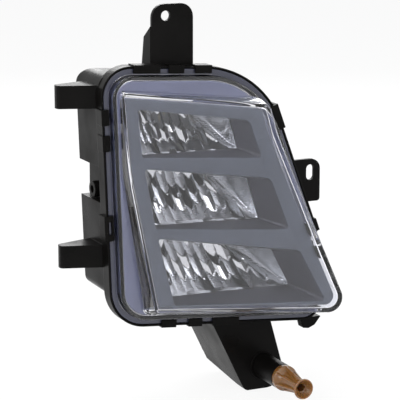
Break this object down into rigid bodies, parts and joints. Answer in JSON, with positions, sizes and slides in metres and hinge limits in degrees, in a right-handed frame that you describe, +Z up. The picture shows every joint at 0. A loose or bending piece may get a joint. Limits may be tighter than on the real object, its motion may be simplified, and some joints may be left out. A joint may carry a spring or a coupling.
{
  "type": "auxiliary driving light",
  "caption": "Car driving light: moulded housing with fixing brackets, stepped clear lens, stacked fluted LED reflectors and a screw that tilts them.",
  "frame": {"origin": "centre of the top fixing hole on the front face of its bracket", "axes": "+X to the right as the lamp is looked at, -Y forward out of the lens, +Z up"},
  "size_m": [0.1754, 0.1055, 0.2471],
  "materials": {
    "black_housing": "moulded, fine grain",
    "clear_lens": "clear moulding, hard coated",
    "sealant": "cured bead",
    "grey_bezel": "fine satin paint",
    "cast_frame": "as cast",
    "reflector_chrome": "vapour coated",
    "circuit_board": "solder mask",
    "light_chip": "phosphor",
    "steel_screw": "zinc plated",
    "steel_bar": "ground",
    "grey_nylon": "glass filled",
    "tan_nylon": "moulded",
    "black_rubber": "moulded",
    "white_acetal": "moulded",
    "black_cover": "moulded",
    "dark_component": "moulded",
    "grey_socket": "moulded",
    "tinned_brass": "tinned"
  },
  "bodies": {
    "root": {"housing": "black_housing", "lens": "clear_lens", "lens_seal": "sealant", "bezel": "grey_bezel", "pivot_pins": "steel_bar", "arm_cover": "black_cover", "arm_cover_screws": "steel_screw", "rear_cover": "black_cover", "rear_cover_seal": "black_rubber", "rear_cover_screws": "steel_screw", "driver_board": "circuit_board", "driver_parts": "dark_component", "connector_socket": "grey_socket", "terminal_pins": "tinned_brass", "vent_cap": "black_cover"},
    "carrier": {"carrier": "cast_frame", "reflector_top": "reflector_chrome", "reflector_middle": "reflector_chrome", "reflector_bottom": "reflector_chrome", "led_boards": "circuit_board", "led_chips": "light_chip", "board_screws": "steel_screw", "reflector_screws": "steel_screw", "aim_lever": "grey_nylon", "lever_screws": "steel_screw"},
    "adjuster": {"adjuster_head": "tan_nylon", "adjuster_rod": "steel_bar", "adjuster_oring": "black_rubber", "rod_clip": "steel_screw"},
    "nut": {"adjuster_nut": "white_acetal"}
  },
  "joints": [
    {"name": "adjuster_turn", "type": "hinge", "parent": "root", "child": "adjuster", "pos_m": [0.06739, 0, -0.2249], "axis": [0, 1, 0], "range_deg": [-1080, 1080]},
    {"name": "nut_slide", "type": "slide", "parent": "root", "child": "nut", "axis": [0, 1, 0], "range_m": [-0.00601, 0.00601]},
    {"name": "carrier_tilt", "type": "hinge", "parent": "root", "child": "carrier", "pos_m": [0.0196, 0.023, -0.10513], "axis": [1, 0, 0], "range_deg": [-2.9, 2.9]}
  ],
  "couplings": [
    {"joint": "nut_slide", "follows": "adjuster_turn", "m_per_rad": -0.00031831},
    {"joint": "carrier_tilt", "follows": "adjuster_turn", "ratio": -0.0026578}
  ]
}
